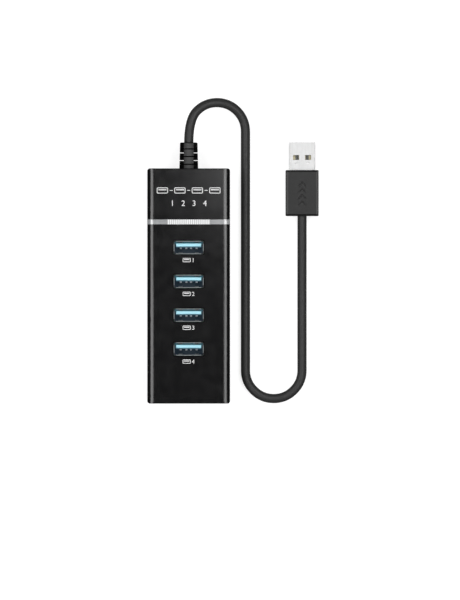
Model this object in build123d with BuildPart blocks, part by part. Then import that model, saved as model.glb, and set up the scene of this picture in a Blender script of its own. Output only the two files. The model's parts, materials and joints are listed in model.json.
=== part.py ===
from build123d import *
import os
from math import pi, radians, tan

# A four-socket USB hub that stands flat, with its sockets facing up, and its short fixed cable.
# Millimetres. +Z up, +Y towards the end where the cable leaves, origin at the centre of the
# housing on the surface that it stands on.

os.makedirs("parts", exist_ok=True)

# ---------------------------------------------------------------- driving dimensions

# Housing
WIDTH = 36.3
LENGTH = 103.2
BASE_Z = 0.8            # underside of the bottom cover
FACE_Z = 21.8           # face with the sockets
SPLIT_Z = 5.0           # where the two covers meet
WALL = 1.8
LONG_EDGE_W = 3.0       # elliptical rounding along the face's long edges
LONG_EDGE_H = 1.7
BASE_EDGE_R = 1.5
END_EDGE_R = 0.5
PLAN_CORNER_R = 1.1
LEAST_R = 0.3           # smallest rounding inside the walls
LIP_T = 0.85            # lip of the bottom cover, inside the top cover's wall
LIP_H = 1.05
LIP_GAP = 0.05

# Light guide
BAND_Y = 28.1
BAND_W = 2.1
BAND_T = 1.1
BAND_LOW_Z = 6.6
LENS_W = 18.5
LENS_H = 0.2
LENS_RIBS = 22
STEM_T = 1.4

# Circuit board
BOARD_W = 31.0
BOARD_L = 85.0
BOARD_Z = 5.0
BOARD_T = 1.6
BOARD_TOP = BOARD_Z + BOARD_T

# Sockets, numbered from the cable end
PORT_COUNT = 4
PORT_PITCH = 14.84
PORT_1_Y = 16.86
PORT_YS = [PORT_1_Y - n * PORT_PITCH for n in range(PORT_COUNT)]
CAVITY_W = 12.5         # inside the shell
CAVITY_H = 5.12
SHELL_T = 0.3
SHELL_TOP = 21.7
OPENING_GAP = 0.2       # between shell and cover
TONGUE_W = 11.1
TONGUE_T = 1.84
TONGUE_LOW_Y = 0.0      # contact side of the tongue, from the socket's centre
TONGUE_TOP = 21.1
TONGUE_LEAD = 0.6       # lead-in chamfer on the contact side of the tongue's tip
BLOCK_TOP = 12.2        # insulator below the tongue
LEAF_XS = [-3.5, -1.0, 1.0, 3.5]
PAD_XS = [-4.0, -2.0, 0.0, 2.0, 4.0]
LEAF_W = 0.9
LEAF_T = 0.25
LEAF_ROOT_Y = 0.95
LEAF_ROOT_Z = 10.6
LEAF_TIP_Z = 18.4
LEAF_GAP = 0.15         # clearance round each leaf
PAD_W = 0.4
PAD_LOW_Z = 18.95
PAD_HIGH_Z = 20.35
PAD_BACK_Y = 1.58       # where a pad's strip runs down behind the leaf channels
PIN_LOW_Z = 3.9

# Screws and feet
SCREW_X = 12.6
SCREW_Y = 46.1
BOARD_SCREW_X = 13.0
BOARD_SCREW_Y = 38.0
SCREW_SHANK_R = 1.0
SCREW_HEAD_R = 1.9
BOSS_R = 3.0
FOOT_R = 3.8
FOOT_T = 1.4

# Cable and strain relief
CABLE_D = 4.1
CABLE_Z = 11.0          # height where the cable leaves the housing
RELIEF_L = 11.55
RELIEF_BASE = 8.25      # across the flats at the housing
RELIEF_TIP = 7.7
RELIEF_FLAT = 4.3       # width of each flat
RELIEF_EDGE_R = 0.9
SIDE_SLOT_W = 0.4
FACE_SLOT_W = 0.55
SIDE_SLOTS = [3.64, 7.0]
FACE_SLOTS = [1.93, 5.35, 8.68]
NECK_R = 3.5
FLANGE_R = 5.0
FLANGE_T = 2.5
EXIT_Y = LENGTH / 2 + RELIEF_L

# Plug
PLUG_X = 49.95
PLUG_Z = 4.0
MOULD_Y0 = 30.9
MOULD_L = 20.2
MOULD_W = 14.56
MOULD_H = 8.0
MOULD_SLOPE_W = 1.1     # the broad faces fall away this far along both sides
MOULD_SLOPE_H = 0.24
MOULD_SIDE_R = 0.6
MOULD_CORNER_R = 0.35
MOULD_END = 0.8         # chamfer across both ends of the broad faces
PLUG_SHELL_W = 12.0
PLUG_SHELL_H = 4.5
PLUG_SHELL_OUT = 12.3   # length of shell outside the overmould
PLUG_SHELL_IN = 6.5
WINDOW_X = 2.65
WINDOW_W = 2.7
WINDOW_L = 2.15
PLUG_END_Y = MOULD_Y0 + MOULD_L + PLUG_SHELL_OUT


def save(piece, name):
    """Label the finished piece and write it as one STEP file."""
    piece.part.label = name
    export_step(piece.part, f"parts/{name}.step")


# ---------------------------------------------------------------- housing


def housing_prism(inset):
    """The housing's section run along its length, shrunk by inset on every side."""
    side = WIDTH / 2 - inset
    low = BASE_Z + inset
    high = FACE_Z - inset
    edge_w = LONG_EDGE_W - inset
    edge_h = max(LONG_EDGE_H - inset, LEAST_R)
    with BuildPart() as prism:
        with BuildSketch(Plane.XZ) as section:
            with BuildLine():
                right = EllipticalCenterArc((side - edge_w, high - edge_h), edge_w, edge_h, start_angle=0)
                left = EllipticalCenterArc((edge_w - side, high - edge_h), edge_w, edge_h, start_angle=90)
                Line(right @ 1, left @ 0)
                Polyline(left @ 1, (-side, low), (side, low), right @ 0)
            make_face()
            fillet(section.vertices().group_by(Axis.Y)[0], max(BASE_EDGE_R - inset, LEAST_R))
        extrude(amount=LENGTH / 2 - inset, both=True)
    return prism.part


with BuildPart() as outer_form:
    add(housing_prism(0))
    with BuildSketch(Plane.XY):
        RectangleRounded(WIDTH, LENGTH, PLAN_CORNER_R)
    extrude(amount=FACE_Z, mode=Mode.INTERSECT)
    with BuildSketch(Plane.YZ):
        with Locations((0, (BASE_Z + FACE_Z) / 2)):
            RectangleRounded(LENGTH, FACE_Z - BASE_Z, END_EDGE_R)
    extrude(amount=WIDTH / 2, both=True, mode=Mode.INTERSECT)

OUTER = outer_form.part
BAND_INNER = housing_prism(BAND_T)
INNER = housing_prism(WALL)
CORNERS = [(x, y) for x in (-SCREW_X, SCREW_X) for y in (-SCREW_Y, SCREW_Y)]
BOARD_CORNERS = [
    (x, y) for x in (-BOARD_SCREW_X, BOARD_SCREW_X) for y in (-BOARD_SCREW_Y, BOARD_SCREW_Y)
]
CABLE_END_WALL = Plane.XZ.offset(-(LENGTH / 2 + 1))

with BuildPart() as top_cover:
    add(OUTER)
    add(INNER, mode=Mode.SUBTRACT)
    split(bisect_by=Plane.XY.offset(SPLIT_Z), keep=Keep.TOP)
    # rebate that takes the bottom cover's lip
    with BuildSketch(Plane.XY.offset(SPLIT_Z)):
        Rectangle(WIDTH - 2 * (WALL - LIP_T - LIP_GAP), LENGTH - 2 * (WALL - LIP_T - LIP_GAP))
    extrude(amount=LIP_H + LIP_GAP, mode=Mode.SUBTRACT)
    # screw bosses, tied to the walls by ribs
    with BuildSketch(Plane.XY.offset(SPLIT_Z)):
        with Locations(*CORNERS):
            Circle(BOSS_R)
    extrude(amount=FACE_Z - WALL - SPLIT_Z + 0.3)
    with BuildSketch(Plane.XY.offset(SPLIT_Z + 2 * LIP_H)):
        for x, y in CORNERS:
            side = 1 if x > 0 else -1
            with Locations((side * (WIDTH / 2 - WALL - 1), y)):
                Rectangle(3, 1.2)
            end = 1 if y > 0 else -1
            with Locations((x, end * (LENGTH / 2 - WALL - 1))):
                Rectangle(1.2, 3)
    extrude(amount=FACE_Z - WALL - SPLIT_Z - 2 * LIP_H + 0.3)
    with BuildSketch(Plane.XY.offset(SPLIT_Z)):
        with Locations(*CORNERS):
            Circle(SCREW_SHANK_R)
    extrude(amount=9, mode=Mode.SUBTRACT)
    # socket openings, with a small chamfer at the face
    for port_y in PORT_YS:
        with BuildSketch(Plane.XY.offset(FACE_Z)):
            with Locations((0, port_y)):
                RectangleRounded(
                    CAVITY_W + 2 * (SHELL_T + OPENING_GAP), CAVITY_H + 2 * (SHELL_T + OPENING_GAP), 0.7
                )
        extrude(amount=-2 * WALL, mode=Mode.SUBTRACT)
        opening = edges().filter_by_position(Axis.Z, FACE_Z - 0.01, FACE_Z + 0.01)
        opening = opening.filter_by(lambda e: abs(e.center().X) < 8 and abs(e.center().Y - port_y) < 4)
        chamfer(opening, 0.15)
    # groove and window for the light guide
    with BuildSketch(Plane.XY.offset(BAND_LOW_Z)):
        with Locations((0, BAND_Y)):
            Rectangle(WIDTH + 2, BAND_W)
    groove = extrude(amount=FACE_Z, mode=Mode.PRIVATE)
    add(groove - BAND_INNER, mode=Mode.SUBTRACT)
    with BuildSketch(Plane.XY.offset(FACE_Z)):
        with Locations((0, BAND_Y)):
            Rectangle(LENS_W, STEM_T)
    extrude(amount=-2 * WALL, mode=Mode.SUBTRACT)
    # slot in the end wall for the strain relief's neck, open down to the split
    with BuildSketch(CABLE_END_WALL):
        with Locations((0, CABLE_Z)):
            Circle(NECK_R)
        with Locations((0, (CABLE_Z + SPLIT_Z) / 2)):
            Rectangle(2 * NECK_R, CABLE_Z - SPLIT_Z)
    extrude(amount=WALL + 1.5, mode=Mode.SUBTRACT)
save(top_cover, "top_cover")

with BuildPart() as bottom_cover:
    add(OUTER)
    add(INNER, mode=Mode.SUBTRACT)
    split(bisect_by=Plane.XY.offset(SPLIT_Z), keep=Keep.BOTTOM)
    # lip, inside the top cover's wall
    with BuildSketch(Plane.XY.offset(SPLIT_Z - 0.5)):
        Rectangle(WIDTH - 2 * (WALL - LIP_T), LENGTH - 2 * (WALL - LIP_T))
        RectangleRounded(WIDTH - 2 * WALL, LENGTH - 2 * WALL, 0.3, mode=Mode.SUBTRACT)
    extrude(amount=LIP_H + 0.5)
    # tab that closes the slot under the strain relief's neck
    with BuildSketch(Plane.XZ.offset(-LENGTH / 2)):
        with Locations((0, (CABLE_Z + SPLIT_Z) / 2)):
            Rectangle(2 * NECK_R - 2 * LIP_GAP, CABLE_Z - SPLIT_Z)
        with Locations((0, CABLE_Z)):
            Circle(NECK_R, mode=Mode.SUBTRACT)
    extrude(amount=WALL)
    # bosses under the case screws and standoffs under the board
    with BuildSketch(Plane.XY.offset(BASE_Z + WALL - 0.2)):
        with Locations(*CORNERS, *BOARD_CORNERS):
            Circle(BOSS_R)
    extrude(amount=SPLIT_Z - BASE_Z - WALL + 0.2)
    with Locations(*[(x, y, BASE_Z) for x, y in CORNERS]):
        Cylinder(FOOT_R + 0.1, 2 * (FOOT_T - BASE_Z), mode=Mode.SUBTRACT)
    with Locations(*[(x, y, FOOT_T) for x, y in CORNERS]):
        Cylinder(SCREW_HEAD_R + 0.1, 3.2, mode=Mode.SUBTRACT)
        Cylinder(SCREW_SHANK_R + 0.1, 2 * SPLIT_Z, mode=Mode.SUBTRACT)
    with Locations(*[(x, y, SPLIT_Z) for x, y in BOARD_CORNERS]):
        Cylinder(SCREW_SHANK_R, 4.0, mode=Mode.SUBTRACT)
save(bottom_cover, "bottom_cover")

# Light guide: a strap flush with the cover, a ribbed lens over the middle and a stem down to the lights
with BuildPart() as light_guide:
    with BuildSketch(Plane.XY.offset(BAND_LOW_Z)):
        with Locations((0, BAND_Y)):
            Rectangle(WIDTH, BAND_W)
    extrude(amount=FACE_Z)
    add(OUTER, mode=Mode.INTERSECT)
    add(BAND_INNER, mode=Mode.SUBTRACT)
    rib = LENS_W / LENS_RIBS
    zigzag = [(-LENS_W / 2 + n * rib / 2, FACE_Z + LENS_H * (n % 2)) for n in range(2 * LENS_RIBS + 1)]
    with BuildSketch(Plane.XZ.offset(-BAND_Y)):
        with BuildLine():
            Polyline(
                zigzag,
                (LENS_W / 2, FACE_Z - BAND_T / 2),
                (-LENS_W / 2, FACE_Z - BAND_T / 2),
                close=True,
            )
        make_face()
    extrude(amount=BAND_W / 2, both=True)
    with BuildSketch(Plane.XZ.offset(-BAND_Y)):
        with BuildLine():
            Polyline(
                (-LENS_W / 2 + 0.1, FACE_Z - BAND_T - 0.2),
                (LENS_W / 2 - 0.1, FACE_Z - BAND_T - 0.2),
                (LENS_W / 2 - 0.1, FACE_Z - WALL - 2),
                (4, BOARD_TOP + 2),
                (-4, BOARD_TOP + 2),
                (-LENS_W / 2 + 0.1, FACE_Z - WALL - 2),
                close=True,
            )
        make_face()
    extrude(amount=STEM_T / 2 - 0.05, both=True)
    with Locations((0, BAND_Y, FACE_Z - BAND_T)):
        Box(LENS_W - 0.2, STEM_T - 0.1, 1.0)
save(light_guide, "light_guide")

with BuildPart() as rubber_feet:
    with BuildSketch(Plane.XY):
        with Locations(*CORNERS):
            Circle(FOOT_R)
    extrude(amount=FOOT_T)
    fillet(edges().group_by(Axis.Z)[0], 0.35)
save(rubber_feet, "rubber_feet")


def pan_head_screws(places, seat_z, head_h, shank_l, way):
    """Pan-head screws with a cross recess. Way is 1 where the shanks run up from the seat, and -1 where
    they run down."""
    with BuildPart() as screws:
        with Locations(*[(x, y, seat_z - way * head_h / 2) for x, y in places]):
            Cylinder(SCREW_HEAD_R, head_h)
        fillet(edges().filter_by(GeomType.CIRCLE).group_by(Axis.Z)[0 if way > 0 else -1], head_h * 0.4)
        with Locations(*[(x, y, seat_z - way * head_h) for x, y in places]):
            Box(2.0, 0.45, head_h, mode=Mode.SUBTRACT)
            Box(0.45, 2.0, head_h, mode=Mode.SUBTRACT)
        with Locations(*[(x, y, seat_z + way * shank_l / 2) for x, y in places]):
            Cylinder(SCREW_SHANK_R, shank_l)
    return screws


save(pan_head_screws(CORNERS, FOOT_T + 1.6, 1.4, 10.0, 1), "case_screws")
save(pan_head_screws(BOARD_CORNERS, BOARD_TOP, 1.3, 3.4, -1), "board_screws")

# ---------------------------------------------------------------- circuit board and what is on it

SHELL_LEG_X = CAVITY_W / 2 + SHELL_T / 2
LEAF_PINS = [(x, LEAF_ROOT_Y) for x in LEAF_XS]
PAD_PINS = [(x, -1.3) for x in PAD_XS]
SHELL_LEGS = [(x, y) for x in (-SHELL_LEG_X, SHELL_LEG_X) for y in (-1.4, 1.4)]

with BuildPart() as circuit_board:
    with BuildSketch(Plane.XY.offset(BOARD_Z)):
        RectangleRounded(BOARD_W, BOARD_L, 1.0)
        with Locations(*BOARD_CORNERS):
            Circle(SCREW_SHANK_R + 0.1, mode=Mode.SUBTRACT)
        for port_y in PORT_YS:
            with Locations(*[(x, port_y + y) for x, y in LEAF_PINS + PAD_PINS]):
                Circle(0.36, mode=Mode.SUBTRACT)
            with Locations(*[(x, port_y + y) for x, y in SHELL_LEGS]):
                SlotOverall(2.0, 0.8, rotation=90, mode=Mode.SUBTRACT)
    extrude(amount=BOARD_T)
save(circuit_board, "circuit_board")


def flat_package(x, y, width, depth, height, pins, pitch):
    """A flat chip body with gull-wing leads along its two long sides, standing on the board."""
    with BuildPart() as chip:
        with Locations((x, y, BOARD_TOP + 0.1 + height / 2)):
            Box(width, depth, height)
        chamfer(faces().sort_by(Axis.Z)[-1].edges(), 0.15)
        for side in (-1, 1):
            for n in range(pins):
                along = y + (n - (pins - 1) / 2) * pitch
                with Locations((x + side * (width / 2 + 0.45), along, BOARD_TOP + 0.1)):
                    Box(0.7, pitch * 0.4, 0.2)
                with Locations((x + side * (width / 2 + 0.15), along, BOARD_TOP + 0.3)):
                    Box(0.4, pitch * 0.4, 0.6)
    return chip


save(flat_package(0, 34.0, 7.0, 8.6, 1.0, 16, 0.5), "hub_controller")
save(flat_package(-11.0, 31.0, 3.9, 4.9, 1.4, 4, 1.27), "firmware_memory")
save(flat_package(11.5, 33.0, 3.0, 3.0, 1.1, 3, 0.95), "voltage_regulator")

with BuildPart() as power_inductor:
    with BuildSketch(Plane.XY.offset(BOARD_TOP)):
        with Locations((11.5, 26.0)):
            RectangleRounded(5.0, 5.0, 1.0)
    extrude(amount=2.8)
    chamfer(faces().sort_by(Axis.Z)[-1].edges(), 0.3)
save(power_inductor, "power_inductor")

with BuildPart() as crystal:
    with BuildSketch(Plane.XY.offset(BOARD_TOP)):
        with Locations((-11.0, 24.5)):
            RectangleRounded(3.2, 2.5, 0.4)
    extrude(amount=0.8)
    with BuildSketch(Plane.XY.offset(BOARD_TOP + 0.8)):
        with Locations((-11.0, 24.5)):
            RectangleRounded(2.7, 2.0, 0.3)
    extrude(amount=0.1)
save(crystal, "crystal")

with BuildPart() as bulk_capacitors:
    for port_y in PORT_YS:
        with BuildSketch(Plane.XY.offset(BOARD_TOP)):
            with Locations((11.5, port_y)):
                RectangleRounded(5.3, 5.3, 0.4)
        extrude(amount=0.8)
        with BuildSketch(Plane.XY.offset(BOARD_TOP + 0.8)):
            with Locations((11.5, port_y)):
                Circle(2.5)
        extrude(amount=5.0)
    fillet(edges().filter_by(GeomType.CIRCLE).group_by(Axis.Z)[-1], 0.4)
save(bulk_capacitors, "bulk_capacitors")


def chip_row(places, length, width, height):
    """Small chip parts, with their end caps, standing on the board at the given places."""
    with BuildPart() as chips:
        for x, y in places:
            with Locations((x, y, BOARD_TOP + height / 2)):
                Box(length * 0.6, width * 0.92, height * 0.92)
                with Locations((-length * 0.39, 0), (length * 0.39, 0)):
                    Box(length * 0.22, width, height)
    return chips


FUSE_PLACES = [(-11.5, y) for y in PORT_YS]
GAP_YS = [y - PORT_PITCH / 2 for y in PORT_YS[:-1]]     # midway between sockets
CAPACITOR_PLACES = [(x, y + step) for x in (-11.5, 11.5) for y in GAP_YS for step in (-1.5, 1.5)]
RESISTOR_PLACES = [(x, y) for y in GAP_YS for x in (-3.0, 0.0, 3.0)]
save(chip_row(FUSE_PLACES, 4.5, 3.2, 0.8), "port_fuses")
save(chip_row(CAPACITOR_PLACES, 1.6, 0.8, 0.8), "chip_capacitors")
save(chip_row(RESISTOR_PLACES, 1.0, 0.5, 0.35), "chip_resistors")

with BuildPart() as band_lights:
    for x in (-2.4, 2.4):
        with Locations((x, BAND_Y, BOARD_TOP + 0.35)):
            Box(3.0, 1.4, 0.7)
        with Locations((x, BAND_Y, BOARD_TOP + 0.7)):
            Cylinder(0.5, 0.5)
save(band_lights, "band_lights")

# ---------------------------------------------------------------- sockets


def bent_strip(x, width, thickness, points):
    """Adds a strip of sheet metal across X that follows points in the YZ plane to the part being built."""
    for (y0, z0), (y1, z1) in zip(points, points[1:]):
        run = Vector(0, y1 - y0, z1 - z0)
        with Locations(Plane(origin=(x, (y0 + y1) / 2, (z0 + z1) / 2), x_dir=(1, 0, 0), z_dir=run)):
            Box(width, thickness, run.length)
    for y, z in points[1:-1]:
        with Locations(Location((x, y, z), (0, 90, 0))):
            Cylinder(thickness / 2, width)


def port_shell(port_y):
    """Steel shell of a socket: a folded tube with spring fingers bent into it from both long sides, and
    four legs."""
    outer_w = CAVITY_W + 2 * SHELL_T
    outer_h = CAVITY_H + 2 * SHELL_T
    with BuildPart() as shell:
        with BuildSketch(Plane.XY.offset(BOARD_TOP)):
            with Locations((0, port_y)):
                RectangleRounded(outer_w, outer_h, 0.7)
                RectangleRounded(CAVITY_W, CAVITY_H, 0.4, mode=Mode.SUBTRACT)
        extrude(amount=SHELL_TOP - BOARD_TOP)
        for side in (-1, 1):
            wall_y = port_y + side * (CAVITY_H + SHELL_T) / 2
            for x in (-3.6, 3.6):
                # the finger's window, and the finger bent into the socket from its lower end
                with Locations((x, wall_y, 17.4)):
                    Box(2.6, 4 * SHELL_T, 5.2, mode=Mode.SUBTRACT)
                bend = port_y + side * (CAVITY_H / 2 - 0.35)
                bent_strip(
                    x, 1.8, 0.25,
                    [(wall_y, 14.7), (wall_y, 15.4), (bend, 18.6), (wall_y - side * 0.05, 19.8)],
                )
        for x, y in SHELL_LEGS:
            with Locations((x, port_y + y, (PIN_LOW_Z + BOARD_TOP + 1) / 2)):
                Box(SHELL_T, 1.2, BOARD_TOP + 1 - PIN_LOW_Z)
    return shell


def port_leaves(port_y):
    """Four leaf contacts: each rises from its root inside the tongue and bows out to meet a plug."""
    with BuildPart() as leaves:
        for x in LEAF_XS:
            bent_strip(
                x, LEAF_W, LEAF_T,
                [
                    (port_y + LEAF_ROOT_Y, LEAF_ROOT_Z),
                    (port_y + LEAF_ROOT_Y - 0.2, LEAF_ROOT_Z + 2.2),
                    (port_y - 0.46, LEAF_TIP_Z - 1.9),
                    (port_y - 0.50, LEAF_TIP_Z - 1.3),
                    (port_y + 0.40, LEAF_TIP_Z),
                ],
            )
    return leaves


def port_fixed_contacts(port_y):
    """Pins under the leaf contacts, and five flat contacts at the tongue's tip with their own pins."""
    with BuildPart() as fixed:
        for x in LEAF_XS:
            low = PIN_LOW_Z
            high = LEAF_ROOT_Z - 0.3
            with Locations((x, port_y + LEAF_ROOT_Y, (low + high) / 2)):
                Box(0.45, 0.3, high - low)
        for x in PAD_XS:
            bent_strip(
                x, PAD_W, 0.2,
                [
                    (port_y + TONGUE_LOW_Y + 0.1, PAD_LOW_Z),
                    (port_y + TONGUE_LOW_Y + 0.1, PAD_HIGH_Z),
                    (port_y + PAD_BACK_Y, PAD_HIGH_Z),
                    (port_y + PAD_BACK_Y, 8.6),
                    (port_y - 1.3, 8.6),
                    (port_y - 1.3, PIN_LOW_Z),
                ],
            )
    return fixed


def port_insulator(port_y, fixed):
    """Moulded block and tongue, with a channel for each leaf contact and room for the fixed ones."""
    with BuildPart() as insulator:
        with BuildSketch(Plane.XY.offset(BOARD_TOP + 0.1)):
            with Locations((0, port_y)):
                RectangleRounded(CAVITY_W, CAVITY_H, 0.4)
        extrude(amount=BLOCK_TOP - BOARD_TOP - 0.1)
        with BuildSketch(Plane.XY.offset(BLOCK_TOP - 0.5)):
            with Locations((0, port_y + TONGUE_LOW_Y + TONGUE_T / 2)):
                Rectangle(TONGUE_W, TONGUE_T)
        extrude(amount=TONGUE_TOP - BLOCK_TOP + 0.5)
        chamfer(faces().sort_by(Axis.Z)[-1].edges().sort_by(Axis.Y)[0], TONGUE_LEAD)
        chamfer(faces().sort_by(Axis.Z)[-1].edges().sort_by(Axis.Y)[1:], 0.2)
        channel_low = LEAF_ROOT_Z - 0.3
        channel_high = LEAF_TIP_Z + 0.3
        for x in LEAF_XS:
            with Locations((x, port_y + TONGUE_LOW_Y + 0.65, (channel_low + channel_high) / 2)):
                Box(LEAF_W + 2 * LEAF_GAP, 1.5, channel_high - channel_low, mode=Mode.SUBTRACT)
        add(fixed.part, mode=Mode.SUBTRACT)
    return insulator


for number, port_y in enumerate(PORT_YS, start=1):
    save(port_shell(port_y), f"port_{number}_shell")
    save(port_leaves(port_y), f"port_{number}_leaf_contacts")
    fixed_contacts = port_fixed_contacts(port_y)
    save(fixed_contacts, f"port_{number}_fixed_contacts")
    save(port_insulator(port_y, fixed_contacts), f"port_{number}_insulator")

# ---------------------------------------------------------------- cable

RELIEF_SECTIONS = [(LENGTH / 2, RELIEF_BASE), (EXIT_Y, RELIEF_TIP)]

with BuildPart() as strain_relief:
    for section_y, across in RELIEF_SECTIONS:
        with BuildSketch(Plane.XZ.offset(-section_y)) as octagon:
            with Locations((0, CABLE_Z)):
                Rectangle(across, across)
            chamfer(octagon.vertices(), (across - RELIEF_FLAT) / 2)
    loft()
    fillet(edges().filter_by(lambda e: abs(e.tangent_at(0.5).Y) > 0.9), RELIEF_EDGE_R)
    fillet(faces().sort_by(Axis.Y)[-1].edges(), 0.5)
    for step in SIDE_SLOTS:
        for side in (-1, 1):
            with Locations((side * (RELIEF_FLAT / 2 + 2), LENGTH / 2 + step, CABLE_Z)):
                Box(4, SIDE_SLOT_W, 12, mode=Mode.SUBTRACT)
    for step in FACE_SLOTS:
        for side in (-1, 1):
            with Locations((0, LENGTH / 2 + step, CABLE_Z + side * (RELIEF_FLAT / 2 + 2))):
                Box(12, FACE_SLOT_W, 4, mode=Mode.SUBTRACT)
    with BuildSketch(Plane.XZ.offset(-LENGTH / 2)):
        with Locations((0, CABLE_Z)):
            Circle(NECK_R - LIP_GAP)
    extrude(amount=WALL)
    with BuildSketch(Plane.XZ.offset(-(LENGTH / 2 - WALL))):
        with Locations((0, CABLE_Z)):
            Circle(FLANGE_R)
    extrude(amount=FLANGE_T)
    with BuildSketch(Plane.XZ.offset(-(EXIT_Y + 1))):
        with Locations((0, CABLE_Z)):
            Circle(CABLE_D / 2)
    extrude(amount=RELIEF_L + WALL + FLANGE_T + 2, mode=Mode.SUBTRACT)
save(strain_relief, "strain_relief")

CABLE_IN_Y = 45.0       # where the jacket ends inside the housing

with BuildPart() as cable_end_in_hub:
    with BuildSketch(Plane.XZ.offset(-EXIT_Y)):
        with Locations((0, CABLE_Z)):
            Circle(CABLE_D / 2)
    extrude(amount=EXIT_Y - CABLE_IN_Y)
save(cable_end_in_hub, "cable_end_in_hub")

# Eight wires in two rows, fanned out from the jacket to pads on the board
WIRE_D = 0.6
WIRE_PITCH = 0.95
PAD_PITCH = 1.1
with BuildPart() as cable_wires:
    for column in range(4):
        for row in (0, 1):
            start_x = (column - 1.5) * WIRE_PITCH
            end_x = (2 * column + row - 3.5) * PAD_PITCH
            start_z = CABLE_Z + (row - 0.5) * WIRE_PITCH
            with BuildLine() as path:
                FilletPolyline(
                    (start_x, CABLE_IN_Y, start_z),
                    (start_x, CABLE_IN_Y - 0.8, start_z),
                    (end_x, CABLE_IN_Y - 4.8, BOARD_TOP + 0.35 + WIRE_PITCH * row),
                    (end_x, CABLE_IN_Y - 6.2 + 0.6 * row, BOARD_TOP + 0.35),
                    radius=0.4,
                )
            with BuildSketch(Plane(origin=path.line @ 0, z_dir=path.line % 0)):
                Circle(WIRE_D / 2)
            sweep()
save(cable_wires, "cable_wires")


def cable_route():
    """Corner points of the free cable: out of the strain relief, round a first U, down beside the housing,
    round a second U and up into the plug."""
    lap_x = PLUG_X / 2
    bend_r = lap_x / 2
    half_side = bend_r * tan(radians(22.5))
    top_y = 68.35
    low_y = -37.2
    return [
        (0, EXIT_Y, CABLE_Z),
        (0, top_y + half_side, CABLE_Z),
        (bend_r - half_side, top_y + bend_r, 9.2),
        (bend_r + half_side, top_y + bend_r, 6.0),
        (lap_x, top_y + half_side, 3.2),
        (lap_x, top_y - 6.0, CABLE_D / 2),
        (lap_x, low_y - half_side, CABLE_D / 2),
        (lap_x + bend_r - half_side, low_y - bend_r, CABLE_D / 2),
        (lap_x + bend_r + half_side, low_y - bend_r, CABLE_D / 2),
        (PLUG_X, low_y - half_side, CABLE_D / 2),
        (PLUG_X, MOULD_Y0 - 22.6, CABLE_D / 2),
        (PLUG_X, MOULD_Y0 - 8.6, PLUG_Z),
        (PLUG_X, MOULD_Y0, PLUG_Z),
    ]


ROUTE = [Vector(*point) for point in cable_route()]
RADII = []
for before, corner, after in zip(ROUTE, ROUTE[1:], ROUTE[2:]):
    turn = (corner - before).get_angle(after - corner)
    shorter = min((corner - before).length, (after - corner).length)
    RADII.append(0.45 * shorter / tan(radians(turn / 2)))
print("cable radii:", [round(radius, 1) for radius in RADII])

with BuildPart() as cable:
    with BuildLine() as cable_line:
        FilletPolyline(*ROUTE, radius=RADII)
    with BuildSketch(Plane(origin=cable_line.line @ 0, z_dir=cable_line.line % 0)):
        Circle(CABLE_D / 2)
    sweep()
save(cable, "cable")
CABLE_LENGTH = cable_line.wires()[0].length
print(f"cable length {CABLE_LENGTH:.1f}, volume {cable.part.volume:.1f}", end=" ")
print(f"against section times length {CABLE_LENGTH * pi * CABLE_D ** 2 / 4:.1f}")

# ---------------------------------------------------------------- plug

INNER_MOULD_Y0 = MOULD_Y0 + 4.0
SHELL_Y0 = MOULD_Y0 + MOULD_L - PLUG_SHELL_IN
TONGUE_LOW_Z = PLUG_Z - PLUG_SHELL_H / 2 + SHELL_T
PLUG_TONGUE_T = 1.95
PLUG_TONGUE_Z = TONGUE_LOW_Z + PLUG_TONGUE_T     # contact side of the plug's tongue

with BuildPart() as cable_end_in_plug:
    with BuildSketch(Plane.XZ.offset(-INNER_MOULD_Y0)):
        with Locations((PLUG_X, PLUG_Z)):
            Circle(CABLE_D / 2)
    extrude(amount=INNER_MOULD_Y0 - MOULD_Y0)
save(cable_end_in_plug, "cable_end_in_plug")

with BuildPart() as plug_inner_mould:
    with BuildSketch(Plane.XZ.offset(-SHELL_Y0)):
        with Locations((PLUG_X, PLUG_Z)):
            RectangleRounded(11.0, 5.6, 1.0)
    extrude(amount=SHELL_Y0 - INNER_MOULD_Y0)
    chamfer(faces().sort_by(Axis.Y)[0].edges(), 0.8)
save(plug_inner_mould, "plug_inner_mould")

with BuildPart() as plug_shell:
    with BuildSketch(Plane.XZ.offset(-PLUG_END_Y)):
        with Locations((PLUG_X, PLUG_Z)):
            RectangleRounded(PLUG_SHELL_W, PLUG_SHELL_H, 0.7)
            RectangleRounded(PLUG_SHELL_W - 2 * SHELL_T, PLUG_SHELL_H - 2 * SHELL_T, 0.4, mode=Mode.SUBTRACT)
    extrude(amount=PLUG_END_Y - SHELL_Y0)
    # latch windows through both broad sides, and a small dimple behind each
    window_y = MOULD_Y0 + MOULD_L + 5.6
    for x in (PLUG_X - WINDOW_X, PLUG_X + WINDOW_X):
        with Locations((x, window_y, PLUG_Z)):
            Box(WINDOW_W, WINDOW_L, 2 * PLUG_SHELL_H, mode=Mode.SUBTRACT)
        for side in (-1, 1):
            with Locations((x, window_y - 2.4, PLUG_Z + side * (PLUG_SHELL_H / 2 + 0.35))):
                Sphere(0.5, mode=Mode.SUBTRACT)
save(plug_shell, "plug_shell")

BLADE_Y0 = PLUG_END_Y - 8.6
BLADE_Y1 = PLUG_END_Y - 1.6
with BuildPart() as plug_flat_contacts:
    for x in LEAF_XS:
        with Locations((PLUG_X + x, (BLADE_Y0 + BLADE_Y1) / 2, PLUG_TONGUE_Z - 0.125)):
            Box(1.1, BLADE_Y1 - BLADE_Y0, 0.25)
save(plug_flat_contacts, "plug_flat_contacts")

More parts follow.
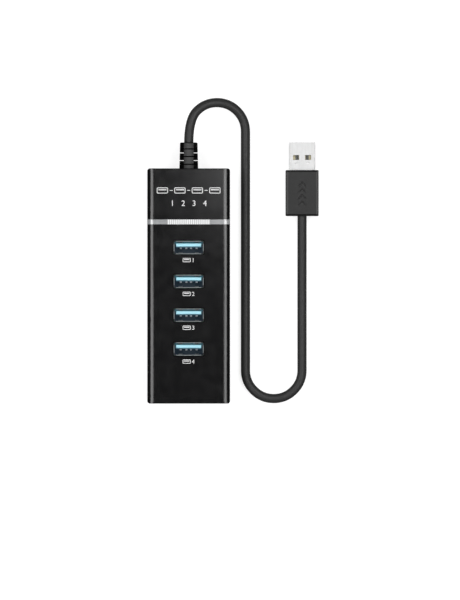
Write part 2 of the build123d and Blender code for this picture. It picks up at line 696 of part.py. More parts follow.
LEAF_Y0 = SHELL_Y0 + 3.6
LEAF_Y1 = BLADE_Y0 - 0.4
with BuildPart() as plug_leaf_contacts:
    for x in PAD_XS:
        bent_strip(
            PLUG_X + x, 0.6, 0.2,
            [
                (LEAF_Y0, PLUG_TONGUE_Z - 0.25),
                (LEAF_Y0 + 2.6, PLUG_TONGUE_Z - 0.1),
                (LEAF_Y1 - 1.5, PLUG_TONGUE_Z + 0.45),
                (LEAF_Y1 - 1.0, PLUG_TONGUE_Z + 0.45),
                (LEAF_Y1 - 0.2, PLUG_TONGUE_Z + 0.05),
            ],
        )
save(plug_leaf_contacts, "plug_leaf_contacts")

with BuildPart() as plug_insulator:
    # a rear block that fills the shell, and a tongue along its lower half
    rear_block = (3.2, PLUG_Z + PLUG_SHELL_H / 2)
    tongue = (PLUG_END_Y - 0.5 - SHELL_Y0 - 0.1, PLUG_TONGUE_Z)
    for length, top_z in (rear_block, tongue):
        with BuildSketch(Plane.XZ.offset(-(SHELL_Y0 + 0.1))):
            with Locations((PLUG_X, PLUG_Z)):
                RectangleRounded(PLUG_SHELL_W - 2 * SHELL_T - 0.1, PLUG_SHELL_H - 2 * SHELL_T - 0.06, 0.45)
            with Locations((PLUG_X, top_z)):
                Rectangle(PLUG_SHELL_W, PLUG_SHELL_H, align=(Align.CENTER, Align.MIN), mode=Mode.SUBTRACT)
        extrude(amount=-length)
    chamfer(faces().sort_by(Axis.Y)[-1].edges().sort_by(Axis.Z)[-1], 0.3)
    add(plug_flat_contacts.part, mode=Mode.SUBTRACT)
    for x in PAD_XS:
        with Locations((PLUG_X + x, (LEAF_Y0 - 0.2 + BLADE_Y0 - 0.1) / 2, PLUG_TONGUE_Z)):
            Box(0.6 + 2 * LEAF_GAP, BLADE_Y0 - 0.1 - LEAF_Y0 + 0.2, 1.6, mode=Mode.SUBTRACT)
save(plug_insulator, "plug_insulator")

with BuildPart() as plug_overmould:
    with BuildSketch(Plane.XZ.offset(-(MOULD_Y0 + MOULD_L))) as mould_section:
        corners = []
        for side_x, side_z in ((1, 1), (1, -1), (-1, -1), (-1, 1)):
            inner = (PLUG_X + side_x * (MOULD_W / 2 - MOULD_SLOPE_W), PLUG_Z + side_z * MOULD_H / 2)
            outer = (PLUG_X + side_x * MOULD_W / 2, PLUG_Z + side_z * (MOULD_H / 2 - MOULD_SLOPE_H))
            corners += [inner, outer] if side_x == side_z else [outer, inner]
        with BuildLine():
            Polyline(*corners, close=True)
        make_face()
        fillet(mould_section.vertices().sort_by(lambda v: abs(v.X - PLUG_X))[-4:], MOULD_SIDE_R)
    extrude(amount=MOULD_L)
    for end_y, way in ((MOULD_Y0, 1), (MOULD_Y0 + MOULD_L, -1)):
        for face_z, side in ((0, 1), (MOULD_H, -1)):
            with BuildSketch(Plane.YZ.offset(PLUG_X - MOULD_W)):
                with BuildLine():
                    Polyline(
                        (end_y - way, face_z - side),
                        (end_y + way * (MOULD_END + 1), face_z - side),
                        (end_y - way, face_z + side * (MOULD_END + 1)),
                        close=True,
                    )
                make_face()
            extrude(amount=2 * MOULD_W, mode=Mode.SUBTRACT)
    with BuildSketch():
        with Locations((PLUG_X, MOULD_Y0 + MOULD_L / 2)):
            RectangleRounded(MOULD_W, MOULD_L, MOULD_CORNER_R)
    extrude(amount=MOULD_H, mode=Mode.INTERSECT)
    add(cable_end_in_plug.part, mode=Mode.SUBTRACT)
    add(plug_inner_mould.part, mode=Mode.SUBTRACT)
    with BuildSketch(Plane.XZ.offset(-PLUG_END_Y)):
        with Locations((PLUG_X, PLUG_Z)):
            RectangleRounded(PLUG_SHELL_W, PLUG_SHELL_H, 0.7)
    extrude(amount=PLUG_END_Y - SHELL_Y0, mode=Mode.SUBTRACT)
    # four chevrons with sloping walls, pressed into the broad side and pointing at the shell
    for step in range(4):
        tip_y = MOULD_Y0 + 7.0 + 2.8 * step
        with BuildSketch(Plane.XY.offset(MOULD_H)):
            with BuildLine():
                Polyline(
                    (PLUG_X, tip_y),
                    (PLUG_X + 1.6, tip_y - 1.6),
                    (PLUG_X + 1.6, tip_y - 2.6),
                    (PLUG_X, tip_y - 1.0),
                    (PLUG_X - 1.6, tip_y - 2.6),
                    (PLUG_X - 1.6, tip_y - 1.6),
                    close=True,
                )
            make_face()
        extrude(amount=-0.3, taper=40, mode=Mode.SUBTRACT)
save(plug_overmould, "plug_overmould")
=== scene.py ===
import json
from math import cos, pi, radians, sin, tan

import bmesh
import bpy
from mathutils import Matrix, Vector


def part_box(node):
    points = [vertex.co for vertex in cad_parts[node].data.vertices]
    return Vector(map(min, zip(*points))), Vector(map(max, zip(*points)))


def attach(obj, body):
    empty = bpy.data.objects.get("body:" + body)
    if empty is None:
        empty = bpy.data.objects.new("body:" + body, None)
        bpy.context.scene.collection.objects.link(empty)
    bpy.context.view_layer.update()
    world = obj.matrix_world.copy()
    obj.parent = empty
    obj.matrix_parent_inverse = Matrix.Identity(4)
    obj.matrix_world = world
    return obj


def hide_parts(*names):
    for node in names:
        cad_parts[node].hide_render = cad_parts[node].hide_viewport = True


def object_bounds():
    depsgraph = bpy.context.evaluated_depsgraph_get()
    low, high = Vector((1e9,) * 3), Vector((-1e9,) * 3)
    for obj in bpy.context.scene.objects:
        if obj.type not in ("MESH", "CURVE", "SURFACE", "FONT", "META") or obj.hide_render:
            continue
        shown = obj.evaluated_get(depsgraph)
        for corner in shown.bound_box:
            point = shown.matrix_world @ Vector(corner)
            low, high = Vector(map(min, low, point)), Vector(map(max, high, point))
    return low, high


# A four-socket USB hub and its short cable on a pale floor, seen from straight above. Metres.

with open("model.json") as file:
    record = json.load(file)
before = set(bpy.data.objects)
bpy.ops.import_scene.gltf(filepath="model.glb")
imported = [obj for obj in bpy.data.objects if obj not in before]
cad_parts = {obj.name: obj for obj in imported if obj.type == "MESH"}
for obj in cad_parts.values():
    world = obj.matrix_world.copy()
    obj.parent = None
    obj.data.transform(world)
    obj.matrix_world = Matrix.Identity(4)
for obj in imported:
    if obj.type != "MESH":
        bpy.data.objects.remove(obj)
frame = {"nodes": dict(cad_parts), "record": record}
cad_low, cad_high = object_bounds()
CAD = frame["nodes"]
MM = 0.001
BODY = "hub"
WHITE = (1, 1, 1, 1)


def add_object(name, data):
    """An object made of the data, in the scene."""
    made = bpy.data.objects.new(name, data)
    bpy.context.scene.collection.objects.link(made)
    return made


# ---------------------------------------------------------------- camera and floor

VIEW_HEIGHT = 0.2632        # length of the socket face's plane that fills the picture's height
VIEW_CENTRE = (0.01815, -0.00616)
LENS = 400.0
SENSOR = 36.0
VIEW_REACH = 20
FLOOR_HALF = 6.0
PAPER_GREY = 0.3
PAPER_GLOW = 0.8


def make_camera():
    """A long lens that looks straight down, with the cable end of the hub at the top of the picture."""
    data = bpy.data.cameras.new("camera")
    data.lens = LENS
    data.sensor_width = SENSOR
    data.clip_end = VIEW_REACH
    camera = add_object("camera", data)
    camera.location = (*VIEW_CENTRE, cad_high.z + VIEW_HEIGHT * LENS / SENSOR)
    bpy.context.scene.camera = camera


def make_floor():
    """A large pale plane under the feet. It isn't seen in reflections."""
    mesh = bpy.data.meshes.new("floor")
    corners = [(x * FLOOR_HALF, y * FLOOR_HALF, 0) for x, y in ((-1, -1), (1, -1), (1, 1), (-1, 1))]
    mesh.from_pydata(corners, [], [(0, 1, 2, 3)])
    floor = add_object("floor", mesh)
    made = bpy.data.materials.new("floor_paper")
    made.use_nodes = True
    paper = made.node_tree.nodes["Principled BSDF"]
    paper.inputs["Base Color"].default_value = (PAPER_GREY, PAPER_GREY, PAPER_GREY, 1)
    paper.inputs["Roughness"].default_value = 0.9
    paper.inputs["Specular IOR Level"].default_value = 0.1
    paper.inputs["Emission Color"].default_value = WHITE
    paper.inputs["Emission Strength"].default_value = PAPER_GLOW
    mesh.materials.append(made)
    floor.visible_glossy = False


make_camera()
make_floor()


# ---------------------------------------------------------------- materials

NOISE_LOW, NOISE_HIGH = 0.3, 0.7        # the part of a noise's range that is spread over a number
TINT_LOW, TINT_HIGH = 0.35, 0.65        # and over a colour


def new_material(name):
    """A material with its node tree and its shader."""
    made = bpy.data.materials.new(name)
    made.use_nodes = True
    tree = made.node_tree
    return made, tree, tree.nodes["Principled BSDF"]


def noise(tree, per_metre, detail=3.0, stretch=(1, 1, 1)):
    """A noise pattern fixed to the object, with per_metre features in a metre."""
    place = tree.nodes.new("ShaderNodeTexCoord")
    scale = tree.nodes.new("ShaderNodeMapping")
    scale.inputs["Scale"].default_value = stretch
    pattern = tree.nodes.new("ShaderNodeTexNoise")
    pattern.inputs["Scale"].default_value = per_metre
    pattern.inputs["Detail"].default_value = detail
    tree.links.new(place.outputs["Object"], scale.inputs["Vector"])
    tree.links.new(scale.outputs["Vector"], pattern.inputs["Vector"])
    return pattern.outputs["Fac"]


def coordinate(tree, source, axis):
    """One coordinate of a vector output."""
    parts = tree.nodes.new("ShaderNodeSeparateXYZ")
    tree.links.new(source, parts.inputs["Vector"])
    return parts.outputs[axis]


def arithmetic(tree, operation, value, other=0.0):
    """One arithmetic step on a pattern. The other operand is a number, or a pattern too."""
    step = tree.nodes.new("ShaderNodeMath")
    step.operation = operation
    tree.links.new(value, step.inputs[0])
    if isinstance(other, float):
        step.inputs[1].default_value = other
    else:
        tree.links.new(other, step.inputs[1])
    return step.outputs["Value"]


def remap(tree, value, from_low, from_high, to_low=0.0, to_high=1.0):
    """A pattern mapped from one range to another, and held at the ends."""
    spread = tree.nodes.new("ShaderNodeMapRange")
    spread.inputs["From Min"].default_value = from_low
    spread.inputs["From Max"].default_value = from_high
    spread.inputs["To Min"].default_value = to_low
    spread.inputs["To Max"].default_value = to_high
    tree.links.new(value, spread.inputs["Value"])
    return spread.outputs["Result"]


def vary(tree, pattern, low, high, socket):
    """Drives a number socket from low to high by a pattern."""
    tree.links.new(remap(tree, pattern, NOISE_LOW, NOISE_HIGH, low, high), socket)


def tint(tree, pattern, dark, light, socket):
    """Drives a colour socket from dark to light by a pattern."""
    ramp = tree.nodes.new("ShaderNodeValToRGB")
    ramp.color_ramp.elements[0].position = TINT_LOW
    ramp.color_ramp.elements[0].color = (*dark, 1)
    ramp.color_ramp.elements[1].position = TINT_HIGH
    ramp.color_ramp.elements[1].color = (*light, 1)
    tree.links.new(pattern, ramp.inputs["Fac"])
    tree.links.new(ramp.outputs["Color"], socket)


def relief(tree, shader, pattern, height):
    """Bump of that height in metres from a pattern."""
    bump = tree.nodes.new("ShaderNodeBump")
    bump.inputs["Distance"].default_value = height
    tree.links.new(pattern, bump.inputs["Height"])
    tree.links.new(bump.outputs["Normal"], shader.inputs["Normal"])


def plain(
    name, dark, light, rough, per_metre=900, height=0.0, metallic=0.0, stretch=(1, 1, 1), specular=0.5
):
    """A material whose colour and roughness vary a little over the surface."""
    made, tree, shader = new_material(name)
    tint(tree, noise(tree, per_metre, stretch=stretch), dark, light, shader.inputs["Base Color"])
    grain = noise(tree, per_metre * 2.3, stretch=stretch)
    vary(tree, grain, rough[0], rough[1], shader.inputs["Roughness"])
    shader.inputs["Metallic"].default_value = metallic
    shader.inputs["Specular IOR Level"].default_value = specular
    if height:
        relief(tree, shader, noise(tree, per_metre * 4, stretch=stretch), height)
    return made


def overlay(tree, shader, mask, colour):
    """Lays another colour over the base colour where the mask is 1."""
    mix = tree.nodes.new("ShaderNodeMixRGB")
    mix.inputs["Color2"].default_value = (*colour, 1)
    tree.links.new(mask, mix.inputs["Fac"])
    tree.links.new(shader.inputs["Base Color"].links[0].from_socket, mix.inputs["Color1"])
    tree.links.new(mix.outputs["Color"], shader.inputs["Base Color"])


def gloss_black():
    """Polished black housing plastic: faint moulding ripple, and fine wear that dulls it in places."""
    made, tree, shader = new_material("gloss_black")
    shade = noise(tree, 60)
    tint(tree, shade, (0.002, 0.002, 0.0023), (0.003, 0.003, 0.0033), shader.inputs["Base Color"])
    vary(tree, noise(tree, 240, 6), 0.16, 0.21, shader.inputs["Roughness"])
    relief(tree, shader, noise(tree, 180, 2), 0.004 * MM)
    return made


LIT_EDGE = 0.2 * MM                     # over which the lit middle fades out
# glow at a rib's foot and at its top; the rise towards the top is a painted highlight on the rib crests
RIB_GLOW_AND_HIGHLIGHT = (0.4, 1.5)                   # at the foot and at the top of a rib


def clear_guide(centre_half_width, rib_low, rib_high, lit_top):
    """Clear light guide: grey where it only passes light along, bright over the ribs where it is lit, with
    a painted highlight that makes the rib tops glow more than their feet.
    """
    made, tree, shader = new_material("clear_guide")
    tint(tree, noise(tree, 400), (0.235, 0.24, 0.245), (0.28, 0.285, 0.29), shader.inputs["Base Color"])
    vary(tree, noise(tree, 700), 0.14, 0.2, shader.inputs["Roughness"])
    shader.inputs["Specular IOR Level"].default_value = 1.0
    shader.inputs["Coat Weight"].default_value = 1.0
    shader.inputs["Coat Roughness"].default_value = 0.15
    place = tree.nodes.new("ShaderNodeTexCoord").outputs["Object"]
    away = arithmetic(tree, "ABSOLUTE", coordinate(tree, place, "X"))
    lit = remap(tree, away, centre_half_width, centre_half_width + LIT_EDGE, lit_top, 0.0)
    rib_glow_and_highlight = remap(tree, coordinate(tree, place, "Z"), rib_low, rib_high, *RIB_GLOW_AND_HIGHLIGHT)
    glow = arithmetic(tree, "MULTIPLY", lit, rib_glow_and_highlight)
    tree.links.new(glow, shader.inputs["Emission Strength"])
    shader.inputs["Emission Color"].default_value = WHITE
    return made


ALONG_Y = (1, 0.15, 1)                  # stretches a noise along Y
SIDE_TO_FACE = (0.5, 0.98)              # upward part of the normal, from a side to a face


def bright_plating(name, dark, light, side_glow):
    """Tinned sheet steel, drawn along its length. Its upright sides glow by side_glow, which stands in for
    the white that they mirror."""
    made = plain(name, dark, light, (0.46, 0.56), 900, 0.001 * MM, 0.9, ALONG_Y)
    tree = made.node_tree
    shader = tree.nodes["Principled BSDF"]
    facing = tree.nodes.new("ShaderNodeNewGeometry").outputs["True Normal"]
    upright = arithmetic(tree, "ABSOLUTE", coordinate(tree, facing, "Z"))
    glow = remap(tree, upright, *SIDE_TO_FACE, side_glow, 0.0)
    tree.links.new(glow, shader.inputs["Emission Strength"])
    shader.inputs["Emission Color"].default_value = WHITE
    return made


CORNER_INNER = (("X", 0.41), ("Y", 0.27))       # where the corners start, in parts of the shell's size
CORNER_FADE = 0.02
# painted shade laid over the folded corners of the socket shells
CORNER_PAINTED_SHADE = (0.012, 0.014, 0.016)


def dark_plating():
    """Dark tinned sheet steel of the sockets, painted darker at the folded corners as painted shade."""
    made = plain("port_steel", (0.11, 0.125, 0.13), (0.165, 0.18, 0.185), (0.4, 0.5), 900, 0, 0.5)
    tree = made.node_tree
    place = tree.nodes.new("ShaderNodeTexCoord").outputs["Generated"]
    ends = []
    for axis, inner in CORNER_INNER:
        off_middle = arithmetic(tree, "SUBTRACT", coordinate(tree, place, axis), 0.5)
        ends.append(remap(tree, arithmetic(tree, "ABSOLUTE", off_middle), inner, inner + CORNER_FADE))
    corner = arithmetic(tree, "MULTIPLY", ends[0], ends[1])
    overlay(tree, tree.nodes["Principled BSDF"], corner, CORNER_PAINTED_SHADE)
    return made


FLOOR_BAND = (0.04 * MM, 0.08 * MM)     # how near to the core a point counts as a slot's floor
BOOT_TOP = (0.5 * MM, 2.2 * MM)         # from the middle of the boot's top to its edge
BOOT_EDGE_SHADE = 0.65
DEEP_SHADE = (0.001, 0.001, 0.001)


def boot_rubber(axis_z, core):
    """Satin rubber, with painted shade that blackens it away from the middle of its top. The floors of the
    slots, core away from the boot's axis, get painted deep shade. Where shade is painted, the rubber turns
    metallic and loses its sheen."""
    made = plain(
        "boot_rubber", (0.003, 0.003, 0.003), (0.005, 0.005, 0.005), (0.34, 0.4), 1200, 0.003 * MM
    )
    tree = made.node_tree
    shader = tree.nodes["Principled BSDF"]
    place = tree.nodes.new("ShaderNodeTexCoord").outputs["Object"]
    above_axis = arithmetic(tree, "SUBTRACT", coordinate(tree, place, "Z"), axis_z)
    off_core = arithmetic(tree, "SUBTRACT", arithmetic(tree, "ABSOLUTE", above_axis), core)
    slot_floor = remap(tree, arithmetic(tree, "ABSOLUTE", off_core), *FLOOR_BAND, 1.0, 0.0)
    across = arithmetic(tree, "ABSOLUTE", coordinate(tree, place, "X"))
    off_centre = remap(tree, across, *BOOT_TOP, 0.0, BOOT_EDGE_SHADE)
    shade = arithmetic(tree, "MAXIMUM", slot_floor, off_centre)
    overlay(tree, shader, shade, DEEP_SHADE)
    tree.links.new(shade, shader.inputs["Metallic"])
    return made


FACE_TO_SLOPE = (0.1, 0.2)              # sideways part of the normal, from the face to the long slopes
# paler grey painted on the long edge slopes as a painted highlight
PAINTED_EDGE_HIGHLIGHT = (0.026, 0.026, 0.026)


def overmould_rubber():
    """Matt rubber whose long edge slopes are painted a little paler, as a painted highlight."""
    made = plain(
        "overmould_rubber", (0.006, 0.006, 0.006), (0.009, 0.009, 0.009), (0.42, 0.5), 1600, 0.006 * MM,
        specular=0.25,
    )
    tree = made.node_tree
    facing = tree.nodes.new("ShaderNodeNewGeometry").outputs["True Normal"]
    slope = arithmetic(tree, "ABSOLUTE", coordinate(tree, facing, "X"))
    edge = remap(tree, slope, *FACE_TO_SLOPE)
    overlay(tree, tree.nodes["Principled BSDF"], edge, PAINTED_EDGE_HIGHLIGHT)
    return made


def graded(tree, source, low, high, stops, jitter=0.01):
    """A colour that runs through the stops as the source goes from low to high."""
    wander = arithmetic(tree, "MULTIPLY", noise(tree, 900), jitter)
    along = arithmetic(tree, "ADD", remap(tree, source, low, high), wander)
    ramp = tree.nodes.new("ShaderNodeValToRGB")
    while len(ramp.color_ramp.elements) < len(stops):
        ramp.color_ramp.elements.new(0.5)
    for element, (position, colour) in zip(ramp.color_ramp.elements, stops):
        element.position = position
        element.color = (*colour, 1)
    tree.links.new(along, ramp.inputs["Fac"])
    return ramp.outputs["Color"]


NAVY = (0.008, 0.02, 0.035)
BLUE = (0.06, 0.13, 0.18)
CYAN = (0.30, 0.57, 0.66)
# painted glow of the socket's depths, teal towards one side
NAVY_GLOW = (0.002, 0.007, 0.012)
TEAL_GLOW = (0.03, 0.09, 0.11)
# painted shade: from the pale tongue tip to navy deep in the socket
BY_DEPTH = [(0.0, NAVY), (0.70, NAVY), (0.98, BLUE), (0.999, CYAN)]
BY_SIDE = [(0.0, NAVY_GLOW), (0.75, NAVY_GLOW), (0.9, TEAL_GLOW), (1.0, TEAL_GLOW)]
SOCKET_DEPTH = 9 * MM                   # over which the colour runs
GLOW_DEPTH, GLOW_START = 6 * MM, 3 * MM


def socket_plastic(tip_z):
    """Blue socket plastic: pale at the tongue's tip and darker the deeper it lies, which is painted shade.
    The depths glow a little, a painted glow which stands in for the light that the plastic lets in."""
    made, tree, shader = new_material("socket_plastic")
    vary(tree, noise(tree, 700), 0.35, 0.45, shader.inputs["Roughness"])
    shader.inputs["Specular IOR Level"].default_value = 0.35
    place = tree.nodes.new("ShaderNodeTexCoord")
    height = coordinate(tree, place.outputs["Object"], "Z")
    colour = graded(tree, height, tip_z - SOCKET_DEPTH, tip_z, BY_DEPTH)
    tree.links.new(colour, shader.inputs["Base Color"])
    across = coordinate(tree, place.outputs["Generated"], "Y")
    tree.links.new(graded(tree, across, 0.0, 1.0, BY_SIDE), shader.inputs["Emission Color"])
    deep = remap(tree, height, tip_z - GLOW_DEPTH, tip_z - GLOW_START, 1.0, 0.0)
    tree.links.new(deep, shader.inputs["Emission Strength"])
    return made


TONGUE_TIP_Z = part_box("port_1_insulator")[1].z
BOOT_AXIS_Z = (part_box("cable_end_in_hub")[0].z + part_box("cable_end_in_hub")[1].z) / 2
BOOT_CORE = 2.15 * MM
LIT_HALF_WIDTH = 9.25 * MM
LIT_GLOW = 0.5

MATERIALS = {
    "black_cover": gloss_black(),
    "black_base": plain(
        "black_base", (0.012, 0.012, 0.012), (0.02, 0.02, 0.021), (0.42, 0.55), 1500, 0.02 * MM
    ),
    "clear_guide": clear_guide(
        LIT_HALF_WIDTH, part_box("top_cover")[1].z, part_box("light_guide")[1].z, LIT_GLOW
    ),
    "foot_rubber": plain(
        "foot_rubber", (0.02, 0.02, 0.02), (0.026, 0.026, 0.026), (0.7, 0.85), 1200, 0.02 * MM
    ),
    "screw_steel": plain("screw_steel", (0.3, 0.3, 0.31), (0.45, 0.45, 0.46), (0.3, 0.45), 1500, 0, 1.0),
    "board_green": plain(
        "board_green", (0.01, 0.10, 0.04), (0.02, 0.16, 0.06), (0.3, 0.4), 300, 0.01 * MM
    ),
    "chip_black": plain(
        "chip_black", (0.015, 0.015, 0.015), (0.03, 0.03, 0.03), (0.5, 0.6), 2500, 0.01 * MM
    ),
    "ferrite": plain(
        "ferrite", (0.05, 0.05, 0.05), (0.09, 0.09, 0.09), (0.6, 0.8), 2000, 0.02 * MM
    ),
    "can_steel": plain("can_steel", (0.55, 0.55, 0.55), (0.7, 0.7, 0.7), (0.25, 0.35), 1500, 0, 1.0),
    "can_aluminium": plain(
        "can_aluminium", (0.65, 0.66, 0.68), (0.8, 0.8, 0.82), (0.3, 0.4), 1500, 0, 1.0
    ),
    "fuse_green": plain("fuse_green", (0.03, 0.14, 0.05), (0.06, 0.2, 0.08), (0.45, 0.6), 1800),
    "ceramic_tan": plain("ceramic_tan", (0.30, 0.2, 0.12), (0.42, 0.3, 0.2), (0.45, 0.6), 2500),
    "light_white": plain("light_white", (0.75, 0.75, 0.7), (0.9, 0.9, 0.85), (0.2, 0.3), 1500),
    "boot_rubber": boot_rubber(BOOT_AXIS_Z, BOOT_CORE),
    "cable_jacket": plain(
        "cable_jacket", (0.02, 0.02, 0.02), (0.026, 0.026, 0.026), (0.38, 0.44), 1500, 0.006 * MM,
        specular=0.18,
    ),
    "wire_insulation": plain("wire_insulation", (0.35, 0.02, 0.02), (0.5, 0.04, 0.04), (0.3, 0.4), 900),
    "mould_white": plain("mould_white", (0.7, 0.7, 0.68), (0.85, 0.85, 0.82), (0.5, 0.6), 900),
    "connector_steel": bright_plating("connector_steel", (0.385, 0.385, 0.385), (0.41, 0.41, 0.41), 1.0),
    "port_steel": dark_plating(),
    "white_print": plain("white_print", (0.55, 0.55, 0.55), (0.65, 0.65, 0.65), (0.4, 0.5), 2500),
    # the socket contacts, painted pale as a painted highlight on their bumps
    "contact_gold": plain(
        "contact_gold", (0.64, 0.69, 0.74), (0.76, 0.81, 0.86), (0.4, 0.5), 2000, 0, 0.35
    ),
    # the plug's contacts, painted dark as painted shade inside the shell's windows
    "plug_gold": plain("plug_gold", (0.22, 0.2, 0.13), (0.3, 0.27, 0.18), (0.35, 0.45), 2000, 0, 0.8),
    "plug_plastic": plain(
        "plug_plastic", (0.045, 0.047, 0.042), (0.06, 0.062, 0.056), (0.4, 0.5), 900
    ),
    "overmould_rubber": overmould_rubber(),
    "port_blue": socket_plastic(TONGUE_TIP_Z),
}

for row in frame["record"]["subparts"]:
    mesh = CAD[row["node"]].data
    mesh.materials.clear()
    mesh.materials.append(MATERIALS[row["material_slot"]])


# ---------------------------------------------------------------- cable

stub_low, stub_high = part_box("cable_end_in_hub")
plug_stub_low, plug_stub_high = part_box("cable_end_in_plug")
CABLE_D = stub_high.x - stub_low.x
CABLE_R = CABLE_D / 2
EXIT = Vector((0, stub_high.y, (stub_low.z + stub_high.z) / 2))
PLUG_X = (plug_stub_low.x + plug_stub_high.x) / 2
PLUG_Z = (plug_stub_low.z + plug_stub_high.z) / 2
PLUG_END = Vector((PLUG_X, plug_stub_low.y, PLUG_Z))
TOP_Y = 68.35 * MM                      # middle of the first U, and of the second
LOW_Y = -37.2 * MM
FALL = (9.2 * MM, 6.0 * MM, 3.2 * MM)   # heights on the way down through the first U
TOUCH_RUN = 6.0 * MM                    # from the first U's end to where the cable meets the table
TOUCH_LEAD = 11.2 * MM
RISE_RUN = 22.6 * MM                    # from where the cable starts to rise to the plug
RISE_LEAD = 14.2 * MM
PLUG_LEAD = 8.6 * MM
OCTAGON_HALF_TURN = radians(22.5)


def cable_route():
    """The control points: out of the strain relief, round a first U, down beside the housing, round a
    second U and up into the plug. The long straight runs have one more point near each end."""
    lap_x = PLUG_X / 2
    bend_r = lap_x / 2
    half_side = bend_r * tan(OCTAGON_HALF_TURN)
    touch_y = TOP_Y - TOUCH_RUN
    rise_y = PLUG_END.y - RISE_RUN
    return [
        EXIT,
        (0, TOP_Y + half_side, EXIT.z),
        (bend_r - half_side, TOP_Y + bend_r, FALL[0]),
        (bend_r + half_side, TOP_Y + bend_r, FALL[1]),
        (lap_x, TOP_Y + half_side, FALL[2]),
        (lap_x, touch_y, CABLE_R),
        (lap_x, touch_y - TOUCH_LEAD, CABLE_R),
        (lap_x, LOW_Y + half_side, CABLE_R),
        (lap_x, LOW_Y - half_side, CABLE_R),
        (lap_x + bend_r - half_side, LOW_Y - bend_r, CABLE_R),
        (lap_x + bend_r + half_side, LOW_Y - bend_r, CABLE_R),
        (PLUG_X, LOW_Y - half_side, CABLE_R),
        (PLUG_X, LOW_Y + half_side, CABLE_R),
        (PLUG_X, rise_y - RISE_LEAD, CABLE_R),
        (PLUG_X, rise_y, CABLE_R),
        (PLUG_X, PLUG_END.y - PLUG_LEAD, PLUG_Z),
        PLUG_END,
    ]


def make_cable():
    """The free cable, one smooth spline from the strain relief to the plug."""
    curve = bpy.data.curves.new("cable_jacket", "CURVE")
    curve.dimensions = "3D"
    curve.bevel_depth = CABLE_R
    curve.bevel_resolution = 6
    curve.resolution_u = 16
    spline = curve.splines.new("NURBS")
    route = cable_route()
    spline.points.add(len(route) - 1)
    for point, place in zip(spline.points, route):
        point.co = (*place, 1)
    spline.order_u = 3
    spline.use_endpoint_u = True
    curve.materials.append(MATERIALS["cable_jacket"])
    cable = add_object("cable_jacket", curve)
    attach(cable, BODY)
    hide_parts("cable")


make_cable()


# ---------------------------------------------------------------- printed marks on the face

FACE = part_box("top_cover")[1].z
INK_SUNK = 0.01 * MM        # how far the ink reaches into the face, and how far it stands proud
INK_PROUD = 0.015 * MM
CORNER_STEPS = 4


def rounded_loop(x, y, width, height, radius):
    """Points round a rectangle with rounded corners, centred on (x, y)."""
    points = []
    for corner, (side, end) in enumerate(((1, 1), (-1, 1), (-1, -1), (1, -1))):
        for step in range(CORNER_STEPS + 1):
            turn = pi / 2 * (corner + step / CORNER_STEPS)
            centre_x = x + side * (width / 2 - radius)
            centre_y = y + end * (height / 2 - radius)
            points.append((centre_x + radius * cos(turn), centre_y + radius * sin(turn)))
    return points


def flat_mesh(curve):
    """The mesh of a flat filled curve, as thick as the ink."""
    curve.extrude = (INK_SUNK + INK_PROUD) / 2
    holder = add_object("holder", curve)
    depsgraph = bpy.context.evaluated_depsgraph_get()
    mesh = bpy.data.meshes.new_from_object(holder.evaluated_get(depsgraph))
    bpy.data.objects.remove(holder)
    return mesh


def printed_loops(loops):
    """Ink that fills the given loops. A loop inside another is a hole."""
    curve = bpy.data.curves.new("loops", "CURVE")
    curve.dimensions = "2D"
    curve.fill_mode = "BOTH"
    for loop in loops:
        spline = curve.splines.new("POLY")
        spline.points.add(len(loop) - 1)
        for point, (x, y) in zip(spline.points, loop):
            point.co = (x, y, 0, 1)
        spline.use_cyclic_u = True
    return flat_mesh(curve)


def printed_digit(digit, x, y, height):
    """A digit of that height, centred on (x, y)."""
    curve = bpy.data.curves.new("digit", "FONT")
    curve.body = str(digit)
    curve.resolution_u = 4
    curve.size = height
    mesh = flat_mesh(curve)
    xs = [vertex.co.x for vertex in mesh.vertices]
    ys = [vertex.co.y for vertex in mesh.vertices]
    grow = height / (max(ys) - min(ys))
    centre = Vector(((max(xs) + min(xs)) / 2, (max(ys) + min(ys)) / 2, 0))
    for vertex in mesh.vertices:
        flat = (vertex.co - centre) * grow
        vertex.co = (x + flat.x, y + flat.y, vertex.co.z)
    return mesh


def print_on_face(name, meshes):
    """Joins the ink meshes into one piece that lies on the face."""
    joined = bmesh.new()
    for mesh in meshes:
        joined.from_mesh(mesh)
        bpy.data.meshes.remove(mesh)
    bmesh.ops.translate(joined, verts=joined.verts, vec=(0, 0, FACE + (INK_PROUD - INK_SUNK) / 2))
    ink = bpy.data.meshes.new(name)
    joined.to_mesh(ink)
    joined.free()
    ink.materials.append(MATERIALS["white_print"])
    marks = add_object(name, ink)
    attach(marks, BODY)


def printed_socket(x, y, width, height, line):
    """The outline of a socket with its tongue."""
    outline = rounded_loop(x, y, width, height, height / 5)
    hole = rounded_loop(x, y, width - 2 * line, height - 2 * line, height / 10)
    tongue = rounded_loop(x, y + height / 9, width - 4.5 * line, 1.4 * line, line / 4)
    return printed_loops([outline, hole, tongue])


TITLE_Y = 41.9 * MM
TITLE_W = 27.9 * MM
TITLE_LINE = 0.3 * MM
TITLE_SOCKET = (4.9 * MM, 2.6 * MM)     # width and height of an outline
DASH_SHORTER = 1.4 * MM                 # than the space between two outlines
NUMBERS_Y = 36.3 * MM
NUMBERS_PITCH = 4.75 * MM
NUMBERS_H = 2.4 * MM


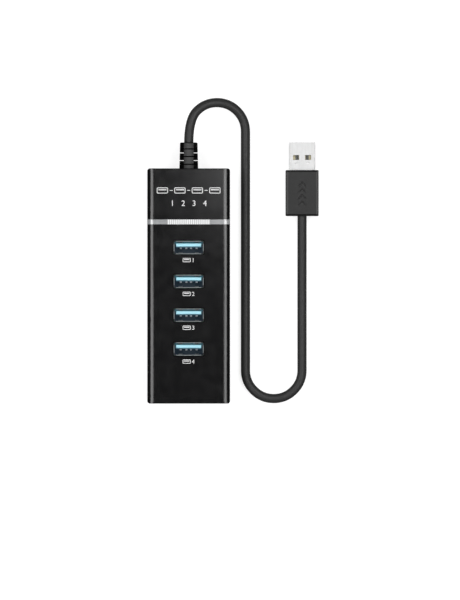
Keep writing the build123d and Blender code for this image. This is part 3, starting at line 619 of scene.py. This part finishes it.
def make_title():
    """A row of four socket outlines joined by dashes, and under it the socket numbers."""
    line = TITLE_LINE
    pitch = (TITLE_W - TITLE_SOCKET[0]) / 3
    dash_w = pitch - TITLE_SOCKET[0] - DASH_SHORTER
    meshes = []
    for n in range(4):
        meshes.append(printed_socket((n - 1.5) * pitch, TITLE_Y, *TITLE_SOCKET, line))
    for n in range(3):
        dash = rounded_loop((n - 1) * pitch, TITLE_Y, dash_w, line, line / 4)
        meshes.append(printed_loops([dash]))
    for n in range(4):
        meshes.append(printed_digit(n + 1, (n - 1.5) * NUMBERS_PITCH, NUMBERS_Y, NUMBERS_H))
    print_on_face("title_marks", meshes)


LABEL_BELOW = 5.5 * MM                  # a label's middle below its socket's
LABEL_LINE = 0.25 * MM
LABEL_SOCKET_X = -0.85 * MM
LABEL_SOCKET_W = 3.5 * MM
LABEL_DIGIT_X = 2.0 * MM
LABEL_H = 1.8 * MM


def make_port_numbers():
    """A small socket outline and the socket's number under each socket."""
    for number in range(1, 5):
        low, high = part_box(f"port_{number}_shell")
        y = (low.y + high.y) / 2 - LABEL_BELOW
        socket = printed_socket(LABEL_SOCKET_X, y, LABEL_SOCKET_W, LABEL_H, LABEL_LINE)
        digit = printed_digit(number, LABEL_DIGIT_X, y, LABEL_H)
        print_on_face(f"port_{number}_marks", [socket, digit])


make_title()
make_port_numbers()


# ---------------------------------------------------------------- light

STRIP_TILT = radians(25)        # off the vertical, as seen from the hub
STRIP_FAR = 1.0
STRIP_W = 0.42
STRIP_L = 1.3
STRIP_RADIANCE = 5.0
SHEEN_PLACE = (0.088, 0.117, 0.39)
SHEEN_AIM = (0.088, 0.117, 0)
SHEEN_W = 0.15
SHEEN_RADIANCE = 3.25
SKY_LOW = 0.06
SKY_HIGH = 0.025
SKY_TURN = 0.5                          # upward part of the direction at which the sky is SKY_HIGH


def softbox(name, place, aim, width, length, radiance):
    """A rectangular area light at place, facing aim, with its length along Y as far as that allows."""
    data = bpy.data.lights.new(name, "AREA")
    data.shape = "RECTANGLE"
    data.size = width
    data.size_y = length
    data.energy = radiance * pi * width * length
    away = (Vector(place) - Vector(aim)).normalized()
    across = Vector((0, 1, 0)).cross(away).normalized()
    light = add_object(name, data)
    light.matrix_world = Matrix((across, away.cross(across), away)).transposed().to_4x4()
    light.location = place


def make_light():
    """Two long softboxes overhead, one each side, a small one near the cable end for the sheen across
    the face, and a dim sky that is paler at the horizon."""
    for name, side in (("softbox_left", -1), ("softbox_right", 1)):
        place = (side * sin(STRIP_TILT) * STRIP_FAR, 0, cos(STRIP_TILT) * STRIP_FAR)
        softbox(name, place, (0, 0, 0), STRIP_W, STRIP_L, STRIP_RADIANCE)
    softbox("softbox_sheen", SHEEN_PLACE, SHEEN_AIM, SHEEN_W, SHEEN_W, SHEEN_RADIANCE)
    world = bpy.data.worlds.new("studio")
    bpy.context.scene.world = world
    world.use_nodes = True
    tree = world.node_tree
    place = tree.nodes.new("ShaderNodeTexCoord")
    height = coordinate(tree, place.outputs["Generated"], "Z")
    sky = tree.nodes["Background"]
    sky.inputs["Color"].default_value = WHITE
    tree.links.new(remap(tree, height, 0.0, SKY_TURN, SKY_LOW, SKY_HIGH), sky.inputs["Strength"])


make_light()
bpy.context.scene.view_settings.view_transform = "Standard"
